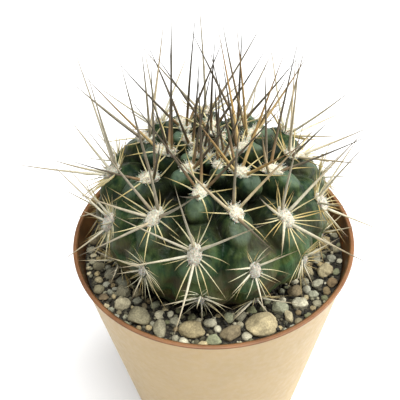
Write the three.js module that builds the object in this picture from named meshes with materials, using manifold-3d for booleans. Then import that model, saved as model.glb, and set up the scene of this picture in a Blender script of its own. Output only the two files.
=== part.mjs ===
// A young Eriosyce taltalensis, rooted in compost under a dressing of grit, in a 6.5 cm plastic nursery pot.
// Millimetres, +Z up. The origin is the middle of the pot's underside, and the plant's front faces -Y.
// Bearings are degrees from -Y towards +X, and polar angles are degrees from straight up.

import * as THREE from "three";
import { mergeVertices } from "three/addons/utils/BufferGeometryUtils.js";
import Module from "manifold-3d";

const wasm = await Module();
wasm.setup();

// Pot
const potHeight = 56;
const rimRadius = 32.5;
const lipProud = 0.5;
const lipHeight = 0.8;
const lipRound = 0.25;
const wallTaper = 0.2;
const wallThickness = 0.6;
const floorTop = 1.8;
const hubRadius = 7;
const channelOuterRadius = 15.5;
const channelHeight = 0.8;
const edgeRound = 0.7;
const drainHoleCount = 6;
const drainHoleRadius = 2.0;
const drainHoleSides = 12;
const potSides = 48;

// Compost and grit
const clearance = 0.35;
const soilTop = 49.0;
const gritTop = 51.2;
const plantHoleSides = 32;
const plantHoleSteps = [53.5, 51, 48.5];
const stoneCount = 84;
const stoneTries = 4000;
const coarseStone = 2.2;
const fineStone = 0.9;
const triesToFine = 500;
const stoneRise = 0.25;
const stoneRing = [17, 29.5];
const stoneSizeRange = [0.8, 1.2];
const stoneWidthRange = [0.7, 1];
const stoneHeightRange = [0.6, 0.9];
const stoneSpacing = 0.8;

// The large stones that stand out, on the plant's front side
const largeStones = [
  { bearing: 24, radius: 25.2, halfSizes: [4.3, 2.8, 2.0], turn: 20 },
  { bearing: -12, radius: 24.8, halfSizes: [3.0, 2.3, 1.9], turn: 0 },
  { bearing: 8, radius: 25.2, halfSizes: [2.9, 2.0, 1.6], turn: 40 },
  { bearing: -1, radius: 27.0, halfSizes: [1.9, 1.4, 1.5], turn: 0 },
  { bearing: 48, radius: 25.7, halfSizes: [2.0, 1.9, 1.7], turn: 0 },
  { bearing: 38, radius: 26.4, halfSizes: [1.1, 1.6, 1.3], turn: 10 },
  { bearing: -40, radius: 26.0, halfSizes: [3.0, 2.4, 2.0], turn: -30 },
  { bearing: -52, radius: 26.3, halfSizes: [2.1, 1.7, 1.6], turn: 20 },
  { bearing: -27, radius: 26.4, halfSizes: [1.7, 2.1, 1.8], turn: 0 },
];

// Stem: an ellipsoid with a flatter upper half, set a little towards the back of the pot
const stemCentre = new THREE.Vector3(0, 2, 65);
const stemRadius = 26;
const stemTop = 17;
const stemBottom = 20;
const stemDetail = 10;
const crownGathering = 1.3;

// Tubercles: domes whose furrows are a share of their spacing deep, and deepest on the young upper ones
const youngFurrowShare = 0.8;
const oldFurrowShare = 0.11;
const firstDeepAreole = -10;
const lastDeepAreole = 3;
const domeRoundness = 1.8;
const furrowLimit = 6;
const furrowSoftness = 0.35;
const domeLengthening = 0.6;
const youngChinDrop = 0.36;
const oldChinDrop = 0.15;
const chinShear = 0.35;
const crownDip = 1.5;
const crownDipPolar = 14;
const smoothFromPolar = 125;
const smoothToPolar = 150;

// Taproot, as pairs of height and radius
const rootProfile = [
  [47, 9],
  [42, 6],
  [34, 3.4],
  [25, 1.8],
  [19, 0.9],
];
const rootTip = 17;
const rootInStem = 4;
const rootSides = 16;

// Areoles lie on one spiral that turns by nearly the golden angle, numbered down from the crown. Number 0
// is the large one at the front, and every thirteenth lies almost straight below it, which makes the ribs.
const spiralTurn = -138.23;
const frontBearing = -9.5;
const frontPolar = 64;
const polarStep = 38 / 13;
const polarSoftness = 16;
const youngestAreole = -28;
const oldestSpinyAreole = 19;
const oldestTubercle = 27;
const fullAgeAreole = 16;
const padHalfWidth = 1.6;
const padHalfHeight = 2.6;
const padHalfDepth = 1.3;
const padShare = 0.95;
const fullPadSpacing = 8;
const wornPadShare = 0.5;
const firstWornAreole = 1;
const lastWornAreole = 10;
const slopeStep = 0.03;
const slopeShare = 0.6;

// Spines: turns are from straight up, clockwise, and leans are from the way the areole faces
const centralSpines = [
  { turn: 0, youngLean: 12, oldLean: 50, length: 31 },
  { turn: 62, youngLean: 20, oldLean: 64, length: 28 },
  { turn: -62, youngLean: 20, oldLean: 64, length: 28 },
  { turn: 180, youngLean: 16, oldLean: 58, length: 22 },
  { turn: -108, youngLean: 40, oldLean: 68, length: 18 },
];
const centralRadius = 0.36;
const centralRing = 0.55;
const centralBow = 0.06;
const radialTurns = [24, -32, 90, -84, 150, -154, 118];
const radialLean = { young: 52, old: 76 };
const radialRadius = 0.22;
const radialLength = { least: 6, most: 9.5 };
const turnRange = 12;
const leanRange = 9;
const lengthRange = [0.8, 1.08];

// How many centrals and radials an areole has: they grow in one after another
const buddingAreole = -21;
const crownAreole = -17;
const middleAge = 0.5;
const buddingCounts = [1, 1];
const crownCounts = [2, 3];
const youngCounts = [4, 5];
const oldCounts = [5, 7];

// Shares of full length, as the areole grows in, is shaded, or grows old
const crownShare = 0.25;
const firstShortBud = -28;
const lastShortBud = -16;
const firstShortAreole = -3;
const lastShortAreole = 7;
const shortCentralShare = 0.32;
const shortRadialShare = 0.75;
const shadedSideShare = 0.8;

// How a spine is seated, thinned and moved until it stands clear
const bowedMiddleShare = 0.7;
const spineRootDepth = 2.0;
const spineClearance = 0.6;
const spineChecks = 12;
const swings = [0, 4, -4, 8, -8, 12, -12];
const raiseStep = 0.12;
const raiseCount = 9;
const spineSeed = 1000;
const drawsPerAreole = 40;

const upward = new THREE.Vector3(0, 0, 1);
const { clamp, degToRad: radians, lerp: mix, smoothstep } = THREE.MathUtils;

// A repeatable draw between 0 and 1 for each whole number, and a run of such draws.
function chance(n) {
  const x = Math.sin(n * 12.9898 + 4.1) * 43758.5453;
  return x - Math.floor(x);
}

function drawsFrom(seed) {
  let n = seed;
  return (low, high) => {
    n += 1;
    return mix(low, high, chance(n));
  };
}

function point(radius, z) {
  return new THREE.Vector2(radius, z);
}

// The way out from the axis at a bearing.
function sideAt(bearing) {
  return new THREE.Vector3(Math.sin(radians(bearing)), -Math.cos(radians(bearing)), 0);
}

// A closed geometry as a solid: shared vertices merged, empty triangles dropped, faces outward.
function solidOf(geometry) {
  const bare = geometry.clone();
  bare.deleteAttribute("normal");
  bare.deleteAttribute("uv");
  const merged = mergeVertices(bare, 1e-4);
  const position = merged.attributes.position;
  const index = merged.index.array;
  const triangles = [];
  let volume = 0;
  const a = new THREE.Vector3();
  const b = new THREE.Vector3();
  const c = new THREE.Vector3();
  for (let i = 0; i < index.length; i += 3) {
    const [p, q, r] = index.slice(i, i + 3);
    if (p === q || q === r || r === p) continue;
    triangles.push(p, q, r);
    a.fromBufferAttribute(position, p);
    b.fromBufferAttribute(position, q);
    c.fromBufferAttribute(position, r);
    volume += a.dot(b.cross(c));
  }
  if (volume < 0) triangles.reverse();
  return new wasm.Manifold(
    new wasm.Mesh({
      numProp: 3,
      vertProperties: new Float32Array(position.array),
      triVerts: new Uint32Array(triangles),
    })
  );
}

function meshOf(name, solid, material) {
  const result = solid.getMesh();
  const geometry = new THREE.BufferGeometry();
  geometry.setAttribute("position", new THREE.BufferAttribute(result.vertProperties, 3));
  geometry.setIndex(new THREE.BufferAttribute(result.triVerts, 1));
  geometry.computeVertexNormals();
  const mesh = new THREE.Mesh(geometry, new THREE.MeshStandardMaterial(material));
  mesh.name = name;
  return mesh;
}

// A solid turned about Z from an outline of radii and heights.
function turned(outline, sides) {
  const geometry = new THREE.LatheGeometry(outline, sides);
  geometry.rotateX(Math.PI / 2);
  return solidOf(geometry);
}

// Pot: a moulded tapered cup with a lip. It stands on a flat hub and a foot ring, and its drain holes lie in
// the raised channel between them.
function wallRadius(z) {
  return rimRadius - lipProud - wallTaper * (potHeight - z);
}

function innerRadius(z) {
  return wallRadius(z) - wallThickness;
}

function makePot() {
  const lipFoot = potHeight - lipHeight;
  const outline = [
    point(0, 0),
    point(hubRadius, 0),
    point(hubRadius + channelHeight, channelHeight),
    point(channelOuterRadius, channelHeight),
    point(channelOuterRadius + channelHeight, 0),
    point(wallRadius(0) - edgeRound, 0),
    point(wallRadius(edgeRound), edgeRound),
    point(wallRadius(lipFoot), lipFoot),
    point(rimRadius, lipFoot + lipRound),
    point(rimRadius, potHeight - lipRound),
    point(rimRadius - lipRound, potHeight),
    point(innerRadius(potHeight) + lipRound, potHeight),
    point(innerRadius(potHeight), potHeight - lipRound),
    point(innerRadius(floorTop + edgeRound), floorTop + edgeRound),
    point(innerRadius(floorTop) - edgeRound, floorTop),
    point(0, floorTop),
  ];
  const ringRadius = (hubRadius + channelHeight + channelOuterRadius) / 2;
  const holes = [];
  for (let i = 0; i < drainHoleCount; i += 1) {
    const hole = new THREE.CylinderGeometry(drainHoleRadius, drainHoleRadius, 4 * floorTop, drainHoleSides);
    const centre = sideAt((360 * i) / drainHoleCount).multiplyScalar(ringRadius);
    hole.rotateX(Math.PI / 2);
    hole.translate(centre.x, centre.y, 0);
    holes.push(solidOf(hole));
  }
  return turned(outline, potSides).subtract(wasm.Manifold.union(holes));
}

// The stem's envelope below its widest height, and the root's radius.
function envelopeRadius(z) {
  const drop = clamp((stemCentre.z - z) / stemBottom, 0, 1);
  return stemRadius * Math.sqrt(1 - drop * drop);
}

function rootRadius(z) {
  const entry = rootProfile.find(([height]) => height === z);
  return entry ? entry[1] : 0;
}

// The hole that the plant stands in, turned about the plant's own axis, its flats as far out as its round.
function makePlantHole() {
  const heights = [potHeight, ...plantHoleSteps, ...rootProfile.map(([z]) => z)];
  const outline = [point(0, potHeight)];
  for (const z of heights) {
    const radius = Math.max(envelopeRadius(z), rootRadius(z)) + clearance;
    outline.push(point(radius / Math.cos(Math.PI / plantHoleSides), z));
  }
  outline.push(point(0, rootTip - 1));
  return turned(outline, plantHoleSides).translate([stemCentre.x, stemCentre.y, 0]);
}

// Compost: one plug from the pot's floor to just under the grit.
function makeSoil(plantHole) {
  const foot = floorTop + clearance;
  const outline = [
    point(0, foot),
    point(innerRadius(foot) - edgeRound - clearance, foot),
    point(innerRadius(foot + edgeRound) - clearance, foot + edgeRound),
    point(innerRadius(soilTop) - clearance, soilTop),
    point(0, soilTop),
  ];
  return turned(outline, potSides).subtract(plantHole);
}

// Stones: the large ones first, then ever finer ones, where they fit between the plant and the wall.
function placeStones() {
  const stones = [];
  const add = ({ bearing, radius, halfSizes, turn }) => {
    const [halfLength, halfWidth, halfHeight] = halfSizes;
    const spread = Math.max(halfLength, halfWidth);
    const resting = soilTop + clearance + halfHeight;
    const place = sideAt(bearing).multiplyScalar(radius);
    place.z = Math.max(gritTop + stoneRise * halfHeight, resting + clearance);
    const fromStem = Math.hypot(place.x - stemCentre.x, place.y - stemCentre.y);
    const top = place.z + halfHeight;
    if (radius + spread > innerRadius(place.z) - clearance) return;
    if (fromStem - spread < envelopeRadius(top) + 2 * clearance) return;
    for (const other of stones) {
      const apart = Math.hypot(place.x - other.place.x, place.y - other.place.y);
      if (apart < stoneSpacing * (spread + other.spread)) return;
    }
    stones.push({ place, top, spread, halfSizes, turn });
  };
  largeStones.forEach(add);
  const draw = drawsFrom(0);
  for (let n = 0; n < stoneTries && stones.length < stoneCount; n += 1) {
    const half = mix(coarseStone, fineStone, Math.min(1, n / triesToFine)) * draw(...stoneSizeRange);
    add({
      halfSizes: [half, half * draw(...stoneWidthRange), half * draw(...stoneHeightRange)],
      bearing: draw(0, 360),
      radius: draw(...stoneRing),
      turn: draw(0, 360),
    });
  }
  return stones;
}

// Grit: one thin layer with the stones of its surface fused to it.
function makeGravel(plantHole, stones) {
  const foot = soilTop + clearance;
  const outline = [
    point(0, foot),
    point(innerRadius(foot) - clearance, foot),
    point(innerRadius(gritTop) - clearance, gritTop),
    point(0, gritTop),
  ];
  const pieces = [turned(outline, potSides).subtract(plantHole)];
  for (const stone of stones) {
    const shape = new THREE.IcosahedronGeometry(1, 0);
    shape.scale(...stone.halfSizes);
    shape.rotateZ(radians(stone.turn));
    shape.translate(...stone.place.toArray());
    pieces.push(solidOf(shape));
  }
  return wasm.Manifold.union(pieces);
}

// The envelope in a direction: the place on it, and the ways out of the stem and up along it.
function envelopeAt(direction) {
  const halfHeight = direction.z > 0 ? stemTop : stemBottom;
  const scale = new THREE.Vector3(stemRadius, stemRadius, halfHeight);
  const level = Math.max(1e-6, Math.hypot(direction.x, direction.y));
  const up = new THREE.Vector3(-direction.z * direction.x, -direction.z * direction.y, level * level);
  return {
    place: direction.clone().multiply(scale).add(stemCentre),
    out: direction.clone().divide(scale).normalize(),
    up: up.multiply(scale).divideScalar(level),
  };
}

// The nth tubercle on the envelope, with the spacing to its neighbours as in a hexagonal lattice, and its age
// from 0 at the crown to 1 at the soil.
function tubercleAt(n) {
  const bearing = frontBearing + spiralTurn * n;
  const past = (frontPolar + polarStep * n) / polarSoftness;
  const polar = radians(polarSoftness * Math.log1p(Math.exp(past)));
  const polarRate = radians(polarStep / (1 + Math.exp(-past)));
  const direction = sideAt(bearing).multiplyScalar(Math.sin(polar));
  direction.z = Math.cos(polar);
  const { place, out, up } = envelopeAt(direction);
  const area = 2 * Math.PI * stemRadius * Math.sin(polar) * up.length() * polarRate;
  const filledOut = smoothstep(n, firstDeepAreole, lastDeepAreole);
  return {
    n,
    direction,
    place,
    out,
    up: up.normalize(),
    across: sideAt(bearing + 90),
    spacing: Math.sqrt((2 * area) / Math.sqrt(3)),
    furrowShare: mix(youngFurrowShare, oldFurrowShare, filledOut),
    chinDrop: mix(youngChinDrop, oldChinDrop, filledOut),
    age: clamp((n - youngestAreole) / (fullAgeAreole - youngestAreole), 0, 1),
  };
}

// The stem's surface in a direction: the envelope, drawn in between the domes of the tubercles. Each dome's
// middle lies a little under its areole, and the furrows are drawn upwards, which leaves a chin below it.
function stemSurface(direction, tubercles) {
  const { place, out, up } = envelopeAt(direction);
  let nearness = 1e-30;
  for (const { place: areole, up: upThere, spacing, furrowShare, chinDrop } of tubercles) {
    const apart = place.clone().sub(areole).addScaledVector(upThere, chinDrop * spacing);
    apart.divideScalar(spacing / 2);
    const along = apart.dot(upThere);
    const fromMiddle = apart.lengthSq() - (1 - domeLengthening) * along * along;
    const depth = furrowShare * spacing * fromMiddle ** domeRoundness;
    nearness += Math.exp(-depth / furrowSoftness);
  }
  const polar = Math.acos(clamp(direction.z, -1, 1));
  const smooth = smoothstep(polar, radians(smoothFromPolar), radians(smoothToPolar));
  const furrow = Math.min(furrowLimit, -furrowSoftness * Math.log(nearness)) * (1 - smooth);
  const dip = crownDip * Math.exp(-((polar / radians(crownDipPolar)) ** 2));
  place.addScaledVector(out, -furrow - dip);
  place.addScaledVector(up.normalize(), chinShear * furrow);
  return place;
}

// The areole of a tubercle, on the stem's surface and turned most of the way to how that surface slopes.
function areoleOn(tubercle, tubercles) {
  const { direction } = tubercle;
  const surface = stemSurface(direction, tubercles);
  const [beside, above] = [tubercle.across, tubercle.up].map((way) =>
    stemSurface(direction.clone().addScaledVector(way, slopeStep).normalize(), tubercles).sub(surface)
  );
  const out = tubercle.out.clone().lerp(beside.cross(above).normalize(), slopeShare).normalize();
  const up = out.clone().cross(tubercle.across).normalize();
  const across = up.clone().cross(out);
  return { ...tubercle, surface, out, up, across, facing: tubercle.out };
}

// One spine from the edge of an areole's wool, or from its middle for a central, bowed a little upwards.
function spineFrom(areole, turn, lean, raise, { length, radius, ring, bow }) {
  const angle = radians(turn);
  const tilt = radians(lean);
  const above = areole.facing.clone().cross(areole.across).normalize();
  const direction = areole.facing.clone().multiplyScalar(Math.cos(tilt));
  direction.addScaledVector(above, Math.sin(tilt) * Math.cos(angle));
  direction.addScaledVector(areole.across, Math.sin(tilt) * Math.sin(angle));
  direction.addScaledVector(upward, raise).normalize();
  const fromMiddle = ring * Math.min(1, areole.spacing / fullPadSpacing);
  const base = areole.surface.clone();
  base.addScaledVector(areole.across, fromMiddle * padHalfWidth * Math.sin(angle));
  base.addScaledVector(areole.up, fromMiddle * padHalfHeight * Math.cos(angle));
  const root = base.clone().addScaledVector(areole.out, -spineRootDepth);
  const middle = base.clone().addScaledVector(direction, length / 2);
  const tip = base.clone().addScaledVector(direction, length);
  tip.addScaledVector(upward, bow * length);
  return { root, base, middle, tip, radius, bowed: bow > 0 };
}

// Whether a spine keeps off the grit, the stones and the pot.
function clearsGround({ base, middle, tip }, stones) {
  for (let i = 1; i <= spineChecks; i += 1) {
    const t = (2 * i) / spineChecks;
    const place = t < 1 ? base.clone().lerp(middle, t) : middle.clone().lerp(tip, t - 1);
    const foot = place.z - spineClearance;
    if (foot < gritTop) return false;
    const fromAxis = Math.hypot(place.x, place.y);
    if (foot < potHeight && fromAxis > innerRadius(place.z) - spineClearance) return false;
    for (const stone of stones) {
      const apart = Math.hypot(place.x - stone.place.x, place.y - stone.place.y);
      if (apart < stone.spread + spineClearance && foot < stone.top) return false;
    }
  }
  return true;
}

// The shortest distance between the stretches ab and cd.
function distanceBetween(a, b, c, d) {
  const u = b.clone().sub(a);
  const v = d.clone().sub(c);
  const w = a.clone().sub(c);
  const uu = u.dot(u);
  const uv = u.dot(v);
  const vv = v.dot(v);
  const spread = Math.max(1e-9, uu * vv - uv * uv);
  const alongFirst = clamp((uv * v.dot(w) - vv * u.dot(w)) / spread, 0, 1);
  const alongSecond = clamp((uv * alongFirst + v.dot(w)) / vv, 0, 1);
  const along = clamp((uv * alongSecond - u.dot(w)) / uu, 0, 1);
  return w.addScaledVector(u, along).addScaledVector(v, -alongSecond).length();
}

function clearsSpines(spine, others) {
  const mine = [[spine.base, spine.middle], [spine.middle, spine.tip]];
  for (const other of others) {
    const need = spine.radius + other.radius;
    const reach = spine.base.distanceTo(spine.tip) + other.base.distanceTo(other.tip) + need;
    if (spine.base.distanceTo(other.base) > reach) continue;
    const theirs = [[other.base, other.middle], [other.middle, other.tip]];
    for (const [a, b] of mine) {
      for (const [c, d] of theirs) {
        if (distanceBetween(a, b, c, d) < need) return false;
      }
    }
  }
  return true;
}

function spineCountsAt({ n, age }) {
  if (n < buddingAreole) return buddingCounts;
  if (n < crownAreole) return crownCounts;
  return age < middleAge ? youngCounts : oldCounts;
}

// Spines: a few long centrals on each areole, which stand up on young areoles and spread on old ones, and a
// ring of thin radials. Each is swung a few degrees either way, and then raised, until it stands clear.
function placeSpines(areoles, stones) {
  const spines = [];
  const add = (areole, turn, lean, size) => {
    for (let attempt = 0; attempt < raiseCount * swings.length; attempt += 1) {
      const swing = swings[attempt % swings.length];
      const raise = raiseStep * Math.floor(attempt / swings.length);
      const spine = spineFrom(areole, turn + swing, lean, raise, size);
      if (clearsGround(spine, stones) && clearsSpines(spine, spines)) {
        spines.push(spine);
        return;
      }
    }
  };
  for (const areole of areoles) {
    const draw = drawsFrom(spineSeed + drawsPerAreole * areole.n);
    let grown = mix(crownShare, 1, smoothstep(areole.n, firstShortBud, lastShortBud));
    grown *= mix(1, shadedSideShare, clamp(areole.direction.y, 0, 1));
    const shortened = smoothstep(areole.n, firstShortAreole, lastShortAreole);
    const centralShare = grown * mix(1, shortCentralShare, shortened);
    const radialShare = grown * mix(1, shortRadialShare, shortened);
    const [centralCount, radialCount] = spineCountsAt(areole);
    for (const central of centralSpines.slice(0, centralCount)) {
      const turn = central.turn + draw(-turnRange / 2, turnRange / 2);
      const lean = mix(central.youngLean, central.oldLean, areole.age) + draw(-leanRange / 2, leanRange / 2);
      const length = centralShare * central.length * draw(...lengthRange);
      add(areole, turn, lean, { length, radius: centralRadius, ring: centralRing, bow: centralBow });
    }
    for (const radialTurn of radialTurns.slice(0, radialCount)) {
      const turn = radialTurn + draw(-turnRange / 2, turnRange / 2);
      const lean = mix(radialLean.young, radialLean.old, areole.age) + draw(-leanRange / 2, leanRange / 2);
      const length = radialShare * draw(radialLength.least, radialLength.most);
      add(areole, turn, lean, { length, radius: radialRadius, ring: 1, bow: 0 });
    }
  }
  return spines;
}

// A three-sided needle from a sunk root to a sharp tip, through its middle where it is bowed.
function makeNeedle({ root, base, middle, tip, radius, bowed }) {
  const rings = [{ centre: root, size: radius }];
  if (bowed) rings.push({ centre: middle, size: bowedMiddleShare * radius });
  const along = tip.clone().sub(base).normalize();
  const side = new THREE.Vector3(along.z, 0, -along.x).normalize();
  const other = along.clone().cross(side);
  const vertices = [];
  for (const { centre, size } of rings) {
    for (let corner = 0; corner < 3; corner += 1) {
      const angle = (2 * Math.PI * corner) / 3;
      const place = centre.clone();
      place.addScaledVector(side, size * Math.cos(angle));
      place.addScaledVector(other, size * Math.sin(angle));
      vertices.push(...place.toArray());
    }
  }
  vertices.push(...tip.toArray());
  const tipIndex = 3 * rings.length;
  const index = [0, 2, 1];
  for (let corner = 0; corner < 3; corner += 1) {
    const next = (corner + 1) % 3;
    for (let low = 0; low < tipIndex - 3; low += 3) {
      const high = low + 3;
      index.push(low + corner, low + next, high + next, low + corner, high + next, high + corner);
    }
    index.push(tipIndex - 3 + corner, tipIndex - 3 + next, tipIndex);
  }
  const geometry = new THREE.BufferGeometry();
  geometry.setAttribute("position", new THREE.Float32BufferAttribute(vertices, 3));
  geometry.setIndex(index);
  return solidOf(geometry);
}

// A low oval cushion of wool on an areole.
function makeWoolPad({ n, spacing, across, up, out, surface }) {
  const wornOff = mix(1, wornPadShare, smoothstep(n, firstWornAreole, lastWornAreole));
  const size = padShare * wornOff * Math.min(1, spacing / fullPadSpacing);
  const pad = new THREE.OctahedronGeometry(1, 0);
  pad.scale(size * padHalfWidth, size * padHalfHeight, wornOff * padHalfDepth);
  pad.applyMatrix4(new THREE.Matrix4().makeBasis(across, up, out));
  pad.translate(...surface.toArray());
  return solidOf(pad);
}

function makeRoot() {
  const [neckHeight] = rootProfile[0];
  const outline = [point(0, rootTip)];
  for (const [z, radius] of [...rootProfile].reverse()) outline.push(point(radius, z));
  outline.push(point(0, neckHeight + rootInStem));
  return turned(outline, rootSides).translate([stemCentre.x, stemCentre.y, 0]);
}

function makeStem(tubercles) {
  const geometry = new THREE.IcosahedronGeometry(1, stemDetail);
  const position = geometry.attributes.position;
  const direction = new THREE.Vector3();
  for (let i = 0; i < position.count; i += 1) {
    direction.fromBufferAttribute(position, i).normalize();
    const bearing = Math.atan2(direction.y, direction.x);
    const polar = Math.PI * (Math.acos(clamp(direction.z, -1, 1)) / Math.PI) ** crownGathering;
    direction.set(Math.sin(polar) * Math.cos(bearing), Math.sin(polar) * Math.sin(bearing), Math.cos(polar));
    position.setXYZ(i, ...stemSurface(direction, tubercles).toArray());
  }
  return solidOf(geometry);
}

// Cactus: one plant, grown as one piece, from its root to the tips of its spines.
function makeCactus(stones) {
  const tubercles = [];
  for (let n = youngestAreole; n <= oldestTubercle; n += 1) tubercles.push(tubercleAt(n));
  const spiny = tubercles.filter(({ n }) => n <= oldestSpinyAreole);
  const areoles = spiny.map((tubercle) => areoleOn(tubercle, tubercles));
  return wasm.Manifold.union([
    makeStem(tubercles),
    makeRoot(),
    ...areoles.map(makeWoolPad),
    ...placeSpines(areoles, stones).map(makeNeedle),
  ]);
}

const plantHole = makePlantHole();
const stones = placeStones();

const group = new THREE.Group();
group.add(
  meshOf("pot", makePot(), { color: "#c9a36f", roughness: 0.45, metalness: 0 }),
  meshOf("soil", makeSoil(plantHole), { color: "#2b2318", roughness: 0.95, metalness: 0 }),
  meshOf("gravel", makeGravel(plantHole, stones), { color: "#9c9474", roughness: 0.85, metalness: 0 }),
  meshOf("cactus", makeCactus(stones), { color: "#44604d", roughness: 0.5, metalness: 0 })
);

export default group;
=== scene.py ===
# A young Eriosyce taltalensis, rooted in compost under a dressing of grit, in a 6.5 cm plastic nursery pot.
# Sizes are millimetres, and each mesh is brought to metres as it is finished. Bearings are degrees from -Y
# towards +X, and polar angles are degrees from straight up.

import itertools
import math
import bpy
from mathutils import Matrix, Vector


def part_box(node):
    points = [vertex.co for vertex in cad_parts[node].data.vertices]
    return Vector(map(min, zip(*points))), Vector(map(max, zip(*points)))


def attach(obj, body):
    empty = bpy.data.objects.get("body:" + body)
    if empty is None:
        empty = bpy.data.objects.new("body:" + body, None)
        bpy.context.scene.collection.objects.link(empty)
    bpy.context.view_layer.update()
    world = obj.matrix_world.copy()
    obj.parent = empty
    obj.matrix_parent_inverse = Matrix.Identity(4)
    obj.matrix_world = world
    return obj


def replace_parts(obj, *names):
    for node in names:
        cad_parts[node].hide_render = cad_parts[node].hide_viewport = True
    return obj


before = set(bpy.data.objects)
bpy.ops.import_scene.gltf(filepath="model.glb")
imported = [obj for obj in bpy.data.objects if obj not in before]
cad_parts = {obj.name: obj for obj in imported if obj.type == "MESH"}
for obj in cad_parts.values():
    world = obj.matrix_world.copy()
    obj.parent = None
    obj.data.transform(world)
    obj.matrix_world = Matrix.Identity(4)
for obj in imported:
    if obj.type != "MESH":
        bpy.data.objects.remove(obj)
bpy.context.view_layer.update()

from types import SimpleNamespace

import bmesh
import bpy
import numpy as np
from mathutils import Matrix, Vector, noise

# Pot: a moulded, tapered cup of thin terracotta-coloured plastic with a small square lip.
# It stands on a hub and a foot ring, with six drain holes in the raised channel between them.
millimetre = 0.001
pot_low, pot_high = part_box("pot")
pot_height = (pot_high.z - pot_low.z) / millimetre
rim_radius = pot_high.x / millimetre
lip_proud = 0.5
lip_height = 0.8
lip_round = 0.25
wall_taper = 0.2
wall_thickness = 0.6
floor_top = 1.8
hub_radius = 7
channel_outer_radius = 15.5
channel_height = 0.8
edge_round = 0.7
round_segments = 4
drain_hole_count = 6
drain_hole_radius = 2.0
drain_hole_sides = 32
pot_steps = 160
shaded_lip_depth = 0.4


def wall_radius(z):
    return rim_radius - lip_proud - wall_taper * (pot_height - z)


def inner_radius(z):
    return wall_radius(z) - wall_thickness


# The way out from the axis at a bearing.
def side_at(bearing):
    return Vector((math.sin(math.radians(bearing)), -math.cos(math.radians(bearing)), 0))


# A closed shell turned about Z from an outline of radii and heights.
def turned(outline, steps, closed=False):
    shell = bmesh.new()
    points = [shell.verts.new((radius, 0, z)) for radius, z in outline]
    ends = points[1:] + points[:1] if closed else points[1:]
    edges = [shell.edges.new(pair) for pair in zip(points, ends)]
    bmesh.ops.spin(
        shell, geom=points + edges, cent=(0, 0, 0), axis=(0, 0, 1), angle=2 * math.pi, steps=steps,
        use_merge=True,
    )
    bmesh.ops.remove_doubles(shell, verts=shell.verts, dist=1e-4)
    bmesh.ops.recalc_face_normals(shell, faces=shell.faces)
    return shell


# The rings of edges that a turned shell has at these radii and heights.
def rings_at(shell, corners):
    def lies_on(vert, radius, z):
        return abs(vert.co.z - z) < 1e-3 and abs(vert.co.to_2d().length - radius) < 1e-3

    return [e for e in shell.edges if any(all(lies_on(v, *corner) for v in e.verts) for corner in corners)]


# A finished piece: its shape is brought to metres, and it rides on the one body that there is.
def finish_piece(name, shape, material):
    bmesh.ops.scale(shape, vec=(millimetre,) * 3, verts=shape.verts)
    mesh = bpy.data.meshes.new(name)
    shape.to_mesh(mesh)
    shape.free()
    mesh.shade_smooth()
    mesh.materials.append(material)
    piece = bpy.data.objects.new(name, mesh)
    bpy.context.scene.collection.objects.link(piece)
    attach(piece, "root")
    return piece


# A colour as it looks on a screen, in six hexadecimal digits, as the shader's own values.
def seen(code):
    parts = [int(code[i:i + 2], 16) / 255 for i in (0, 2, 4)]
    return (*[((part + 0.055) / 1.055) ** 2.4 if part > 0.04 else part / 12.92 for part in parts], 1)


def grey(value):
    return (value, value, value, 1)


# A material on one Principled shader, built up from patterns on Object coordinates and mesh attributes.
class Finish:
    def __init__(self, name, **constants):
        self.material = bpy.data.materials.new(name)
        self.material.use_nodes = True
        self.tree = self.material.node_tree
        self.shader = self.tree.nodes["Principled BSDF"]
        for socket, value in constants.items():
            self.shader.inputs[socket.replace("_", " ").title().replace("Ior", "IOR")].default_value = value
        self.place = self.tree.nodes.new("ShaderNodeTexCoord").outputs["Object"]

    def feed(self, socket, value):
        if isinstance(value, bpy.types.NodeSocket):
            self.tree.links.new(value, socket)
        else:
            socket.default_value = value

    def node(self, kind, settings, *inputs):
        made = self.tree.nodes.new("ShaderNode" + kind)
        for key, value in settings.items():
            setattr(made, key, value)
        for socket, value in zip(made.inputs, inputs):
            if value is not None:
                self.feed(socket, value)
        return made

    # Noise whose grains are so many millimetres across.
    def noise(self, size, detail=3, place=None):
        made = self.node("TexNoise", {}, place or self.place)
        made.inputs["Scale"].default_value = 1 / (size * millimetre)
        made.inputs["Detail"].default_value = detail
        return made.outputs["Fac"]

    def cells(self, size, feature="F1"):
        made = self.node("TexVoronoi", {"feature": feature}, self.place)
        made.inputs["Scale"].default_value = 1 / (size * millimetre)
        return made.outputs["Distance"]

    def attribute(self, name):
        return self.node("Attribute", {"attribute_name": name}).outputs["Fac"]

    def math(self, operation, *values):
        return self.node("Math", {"operation": operation}, *values).outputs[0]

    def ramp(self, factor, *stops):
        made = self.node("ValToRGB", {}, factor)
        elements = made.color_ramp.elements
        while len(elements) < len(stops):
            elements.new(1)
        for element, (position, colour) in zip(elements, stops):
            element.position = position
            element.color = colour
        return made.outputs["Color"]

    def mix(self, factor, first, second, blend="MIX"):
        made = self.node("Mix", {"data_type": "RGBA", "blend_type": blend}, factor)
        self.feed(made.inputs[6], first)
        self.feed(made.inputs[7], second)
        return made.outputs[2]

    def colour(self, value):
        self.feed(self.shader.inputs["Base Color"], value)

    def roughness(self, value):
        self.feed(self.shader.inputs["Roughness"], value)

    # Relief whose height is this many millimetres at full pattern.
    def bump(self, pattern, height):
        made = self.node("Bump", {})
        made.inputs["Distance"].default_value = height * millimetre
        self.feed(made.inputs["Height"], pattern)
        self.feed(self.shader.inputs["Normal"], made.outputs["Normal"])


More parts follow.
